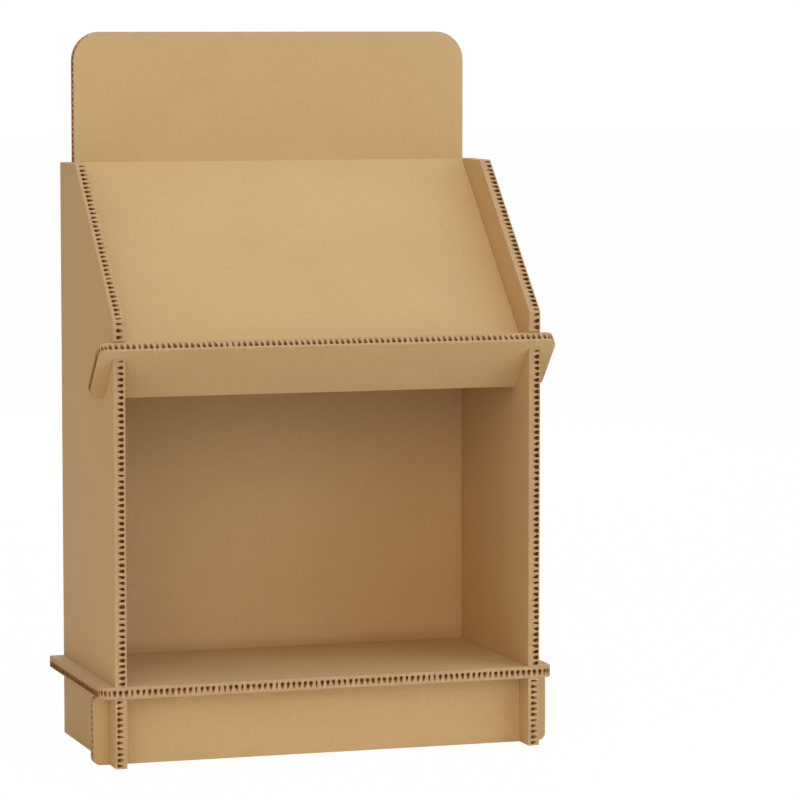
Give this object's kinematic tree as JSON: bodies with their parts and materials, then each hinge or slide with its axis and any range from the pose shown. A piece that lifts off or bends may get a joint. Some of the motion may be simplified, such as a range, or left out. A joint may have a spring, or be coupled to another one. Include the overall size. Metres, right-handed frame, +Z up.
{
  "type": "cardboard display stand",
  "caption": "Floor display stand slotted together from thick kraft board: side panels, a header board, a sloping display face with a lip, and a low shelf over a plinth.",
  "frame": {"origin": "on the floor, at the middle of the stand's width and depth", "axes": "+Z up, -Y towards the front, +X to the right seen from the front"},
  "size_m": [0.644, 0.3096, 0.98],
  "materials": {
    "kraft_board": "matte uncoated kraft paper"
  },
  "bodies": {
    "root": {"left_side_panel": "kraft_board", "right_side_panel": "kraft_board", "back_panel": "kraft_board", "display_slope": "kraft_board", "front_lip": "kraft_board", "bottom_shelf": "kraft_board", "front_plinth": "kraft_board"}
  },
  "joints": []
}
